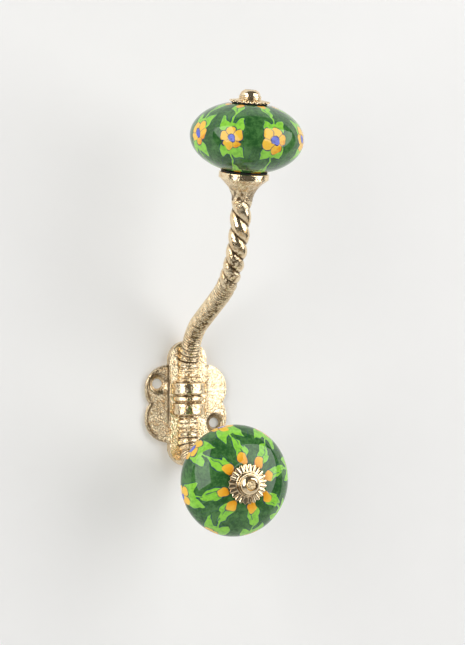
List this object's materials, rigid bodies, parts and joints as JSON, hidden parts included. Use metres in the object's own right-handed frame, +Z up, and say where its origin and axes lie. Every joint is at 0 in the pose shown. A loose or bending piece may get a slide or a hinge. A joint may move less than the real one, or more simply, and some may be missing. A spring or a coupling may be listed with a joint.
{
  "type": "wall hook",
  "caption": "Cast gold-finished double wall hook: a scalloped backplate, a rope-twist upper arm and a short lower arm, each ending in a flowered green ceramic knob.",
  "frame": {"origin": "centre of the backplate's back face, on the wall", "axes": "+Z up along the wall, -Y out of the wall towards the knobs, +Y into the wall, +X to the right seen from the front"},
  "size_m": [0.04, 0.0852, 0.1577],
  "materials": {
    "cast_gold": "sand-cast, gold-plated and roughly polished",
    "pressed_gold": "pressed and turned, bright gold plate",
    "painted_glaze": "hand-painted flowers under a clear gloss glaze",
    "gasket_rubber": "black, matt",
    "stud_steel": "threaded rod, bright"
  },
  "bodies": {
    "bracket": {"backplate": "cast_gold", "banded_collar": "cast_gold", "upper_arm": "cast_gold", "lower_arm": "cast_gold", "upper_cup": "cast_gold", "lower_cup": "cast_gold", "upper_rear_gasket": "gasket_rubber", "lower_rear_gasket": "gasket_rubber", "upper_front_gasket": "gasket_rubber", "lower_front_gasket": "gasket_rubber", "upper_rosette": "pressed_gold", "lower_rosette": "pressed_gold", "upper_dome_nut": "pressed_gold", "lower_dome_nut": "pressed_gold", "upper_stud": "stud_steel", "lower_stud": "stud_steel"},
    "upper_knob": {"upper_knob": "painted_glaze"},
    "lower_knob": {"lower_knob": "painted_glaze"}
  },
  "joints": [
    {"name": "upper_knob_turn", "type": "hinge", "parent": "bracket", "child": "upper_knob", "pos_m": [0, -0.06552, 0.09616], "axis": [0, -0.2164, 0.9763], "continuous": true},
    {"name": "lower_knob_turn", "type": "hinge", "parent": "bracket", "child": "lower_knob", "pos_m": [0, -0.0537, -0.0249], "axis": [0, -1, 0], "continuous": true}
  ]
}
